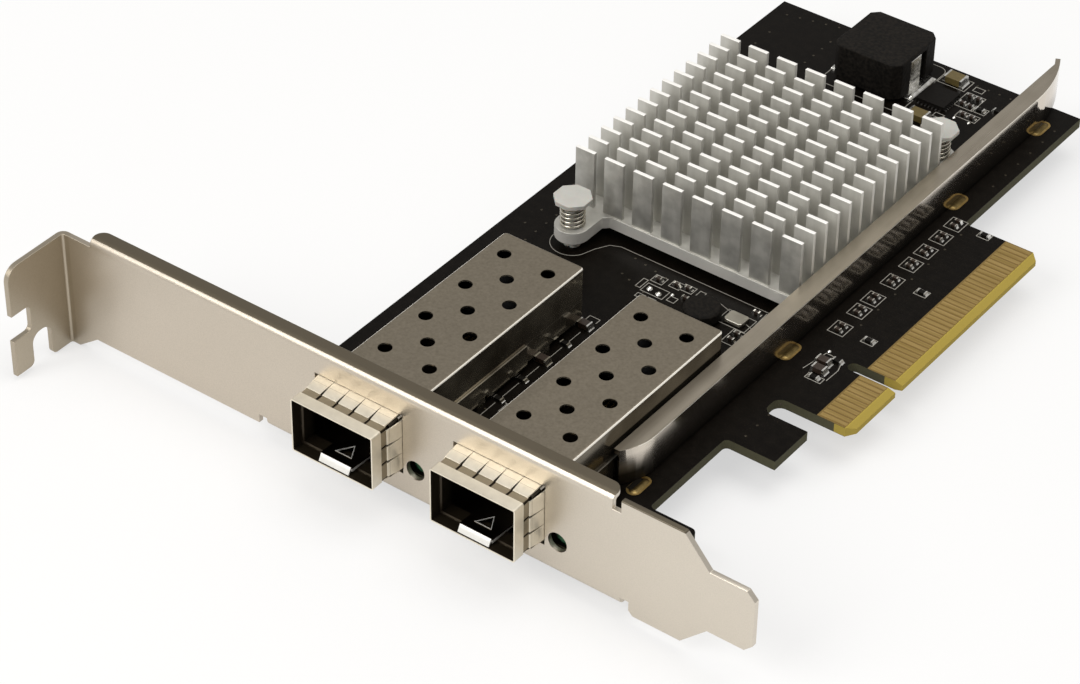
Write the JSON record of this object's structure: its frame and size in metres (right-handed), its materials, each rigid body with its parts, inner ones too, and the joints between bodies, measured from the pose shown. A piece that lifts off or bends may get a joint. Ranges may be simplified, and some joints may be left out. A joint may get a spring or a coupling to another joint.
{
  "type": "network interface card",
  "caption": "Expansion card with pluggable transceiver cages behind a slotted steel bracket, a pin-field heatsink, a bright stiffener bar and a gold edge connector.",
  "frame": {"origin": "middle of the edge connector's key notch, on the connector's bottom edge and on the board's component side", "axes": "+X down into the slot that the card plugs into, +Y from the bracket to the rear of the card, +Z out of the component side"},
  "size_m": [0.1201, 0.1468, 0.0209],
  "materials": {
    "solder_mask": "black solder mask over glass laminate, satin gloss",
    "gold_plate": "thin gold plate",
    "nickel_steel": "satin nickel plate",
    "screw_steel": "bright nickel plate",
    "cage_steel": "satin tinned sheet",
    "collar_steel": "satin tinned spring sheet",
    "black_plastic": "moulded",
    "green_lens": "tinted clear",
    "bare_aluminium": "bare, extruded and cross-cut",
    "chip_black": "moulded epoxy",
    "pad_grey": "soft filled pad",
    "white_nylon": "natural nylon",
    "spring_steel": "drawn wire",
    "bright_steel": "bright rolled sheet",
    "choke_black": "pressed powder, coated",
    "tinned": "tin plate and solder",
    "ceramic_brown": "fired ceramic",
    "ceramic_tan": "fired ceramic"
  },
  "bodies": {
    "root": {"board": "solder_mask", "bracket": "nickel_steel", "bracket_screws": "screw_steel", "bulk_capacitors": "ceramic_tan", "chip_ends": "tinned", "chip_resistors": "chip_black", "choke_terminals": "tinned", "component_side_contacts": "gold_plate", "controller_chip": "chip_black", "coupling_capacitors": "ceramic_brown", "crystal": "tinned", "heatsink": "bare_aluminium", "inductor_terminals": "tinned", "left_cage_base": "cage_steel", "left_cage_cover": "cage_steel", "left_host_connector": "black_plastic", "left_host_leads": "gold_plate", "left_lamp_holder": "black_plastic", "left_lamp_lens": "green_lens", "left_shield_collar": "collar_steel", "memory_chip": "chip_black", "memory_leads": "tinned", "pin_springs": "spring_steel", "power_choke": "choke_black", "push_pins": "white_nylon", "regulator_chip": "chip_black", "right_cage_base": "cage_steel", "right_cage_cover": "cage_steel", "right_host_connector": "black_plastic", "right_host_leads": "gold_plate", "right_lamp_holder": "black_plastic", "right_lamp_lens": "green_lens", "right_shield_collar": "collar_steel", "round_inductor": "choke_black", "slot_pads": "gold_plate", "small_capacitors": "ceramic_brown", "solder_side_contacts": "gold_plate", "stiffener_bar": "bright_steel", "thermal_pad": "pad_grey", "under_capacitors": "ceramic_brown"}
  },
  "joints": []
}
